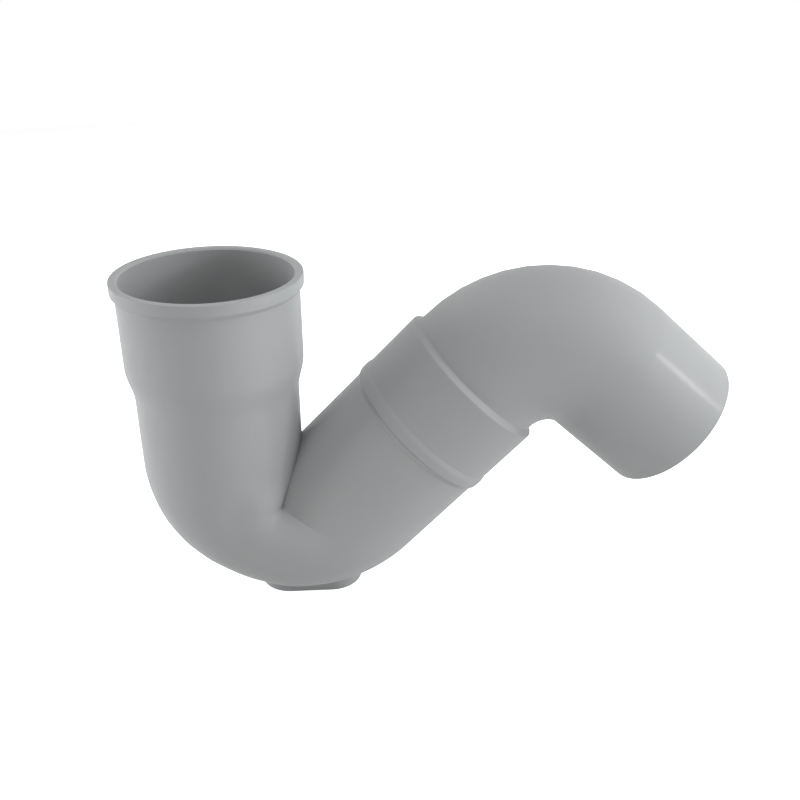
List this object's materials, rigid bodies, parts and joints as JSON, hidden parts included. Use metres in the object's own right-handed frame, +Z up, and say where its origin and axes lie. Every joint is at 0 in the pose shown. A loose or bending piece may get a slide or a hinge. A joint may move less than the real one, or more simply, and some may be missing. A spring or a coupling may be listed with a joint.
{
  "type": "q trap",
  "caption": "Grey plastic Q trap: a wide inlet socket, a U bend with a small foot, and a rising arm with a bend to a plain outlet.",
  "frame": {"origin": "on the leg's axis at the shelf that stops the pipe in the inlet socket", "axes": "+Z up the leg's axis and out of the inlet socket, +X from the leg towards the outlet, +Y across the trap"},
  "size_m": [0.4314, 0.13, 0.249],
  "materials": {
    "grey_upvc": "satin"
  },
  "bodies": {
    "root": {"trap_body": "grey_upvc", "outlet_bend": "grey_upvc"}
  },
  "joints": []
}
